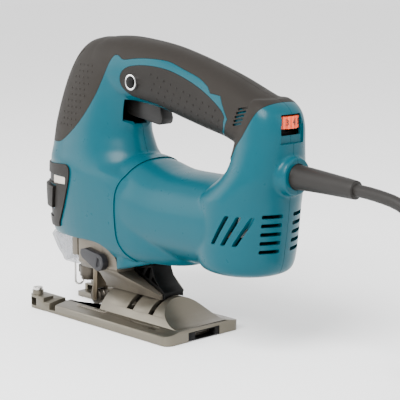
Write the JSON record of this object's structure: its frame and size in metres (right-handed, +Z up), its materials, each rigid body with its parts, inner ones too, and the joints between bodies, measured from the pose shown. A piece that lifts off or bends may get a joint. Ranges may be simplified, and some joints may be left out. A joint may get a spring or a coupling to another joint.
{
  "type": "jigsaw",
  "caption": "Corded jigsaw with a closed D-shaped handle, a round motor barrel, soft grips, a die-cast tilting base and a mains lead.",
  "frame": {"origin": "on the sole, where the blade passes through it", "axes": "+X to the rear of the tool, +Z up, -Y the tool's left side"},
  "size_m": [0.4694, 0.108, 0.2075],
  "materials": {
    "teal_shell": "satin moulded plastic",
    "soft_grip": "matte soft overmould",
    "cord_rubber": "matte rubber",
    "cast_alloy": "die-cast, blasted",
    "black_plastic": "moulded",
    "orange_plastic": "moulded",
    "smoky_clear": "clear tinted plastic",
    "copper_alloy": "drawn copper",
    "laminations": "stamped sheets",
    "carbon": "pressed carbon",
    "steel": "machined"
  },
  "bodies": {
    "tool": {"handle_shell_left": "teal_shell", "handle_shell_right": "teal_shell", "motor_housing": "teal_shell", "top_grip_left": "soft_grip", "top_grip_right": "soft_grip", "side_pad_left": "soft_grip", "side_pad_right": "soft_grip", "nose_pad": "soft_grip", "housing_screws": "steel", "gear_housing": "cast_alloy", "shoe_bracket": "black_plastic", "base_clamp_plate": "steel", "base_bolts": "steel", "wire_guard": "steel", "plunger_bushes": "copper_alloy", "gear_pin": "steel", "holder_pin": "steel", "lever_pin": "steel", "front_bearing": "steel", "rear_bearing": "steel", "field_core": "laminations", "field_coils": "copper_alloy", "brush_holders": "copper_alloy", "carbon_brushes": "carbon", "switch_body": "black_plastic", "speed_controller": "black_plastic", "cord_clamp": "black_plastic", "cord_sleeve": "soft_grip", "cord_lead": "cord_rubber", "cord_coil": "cord_rubber", "cord_tail": "cord_rubber", "plug": "cord_rubber"},
    "armature": {"armature_shaft": "steel", "armature_core": "laminations", "armature_windings": "copper_alloy", "commutator": "copper_alloy", "fan": "black_plastic"},
    "crank": {"crank_gear": "steel", "crank_pin": "steel"},
    "plunger": {"plunger_rod": "steel", "yoke": "steel", "blade_clamp": "steel"},
    "roller_arm": {"roller_holder": "cast_alloy"},
    "roller": {"guide_roller": "steel"},
    "base": {"base_plate": "cast_alloy", "fence_screw": "steel", "key_clip": "black_plastic"},
    "key": {"hex_key": "steel"},
    "trigger": {"trigger": "soft_grip"},
    "lock": {"lock_button": "black_plastic"},
    "dial": {"speed_dial": "orange_plastic"},
    "orbit_lever": {"orbital_lever": "black_plastic"},
    "release_lever": {"blade_release_lever": "soft_grip"},
    "cover": {"dust_cover": "smoky_clear"}
  },
  "joints": [
    {"name": "armature_spin", "type": "hinge", "parent": "tool", "child": "armature", "pos_m": [0, 0, 0.087], "axis": [1, 0, 0], "continuous": true},
    {"name": "crank_spin", "type": "hinge", "parent": "tool", "child": "crank", "pos_m": [0, 0, 0.111], "axis": [1, 0, 0], "continuous": true},
    {"name": "plunger_slide", "type": "slide", "parent": "tool", "child": "plunger", "axis": [0, 0, 1], "range_m": [0, 0.026]},
    {"name": "roller_swing", "type": "hinge", "parent": "tool", "child": "roller_arm", "pos_m": [0.0125, 0, 0.044], "axis": [0, 1, 0], "range_deg": [0, 4]},
    {"name": "roller_spin", "type": "hinge", "parent": "roller_arm", "child": "roller", "pos_m": [0.0115, 0, 0.0099], "axis": [0, 1, 0], "continuous": true},
    {"name": "base_tilt", "type": "hinge", "parent": "tool", "child": "base", "pos_m": [0, 0, 0], "axis": [1, 0, 0], "range_deg": [-45, 45]},
    {"name": "key_slide", "type": "slide", "parent": "base", "child": "key", "axis": [1, 0, 0], "range_m": [0, 0.055]},
    {"name": "trigger_press", "type": "slide", "parent": "tool", "child": "trigger", "axis": [0, 0, 1], "range_m": [0, 0.005], "stiffness_N_per_m": 1500, "springref_m": -0.001},
    {"name": "lock_press", "type": "slide", "parent": "tool", "child": "lock", "axis": [0, 1, 0], "range_m": [0, 0.003], "stiffness_N_per_m": 800, "springref_m": -0.001},
    {"name": "dial_turn", "type": "hinge", "parent": "tool", "child": "dial", "pos_m": [0.1935, 0.001, 0.1557], "axis": [0, 0, 1], "range_deg": [0, 240]},
    {"name": "orbit_turn", "type": "hinge", "parent": "tool", "child": "orbit_lever", "pos_m": [0.046, -0.025, 0.046], "axis": [0, -1, 0], "range_deg": [0, 60]},
    {"name": "release_swing", "type": "hinge", "parent": "tool", "child": "release_lever", "pos_m": [-0.023, 0.0225, 0.087], "axis": [0, 0, -1], "range_deg": [0, 50], "stiffness_Nm_per_rad": 0.15, "springref_deg": -5.73},
    {"name": "cover_slide", "type": "slide", "parent": "tool", "child": "cover", "axis": [0, 0, -1], "range_m": [0, 0.008]}
  ],
  "couplings": [
    {"joint": "crank_spin", "follows": "armature_spin", "ratio": -0.2}
  ]
}
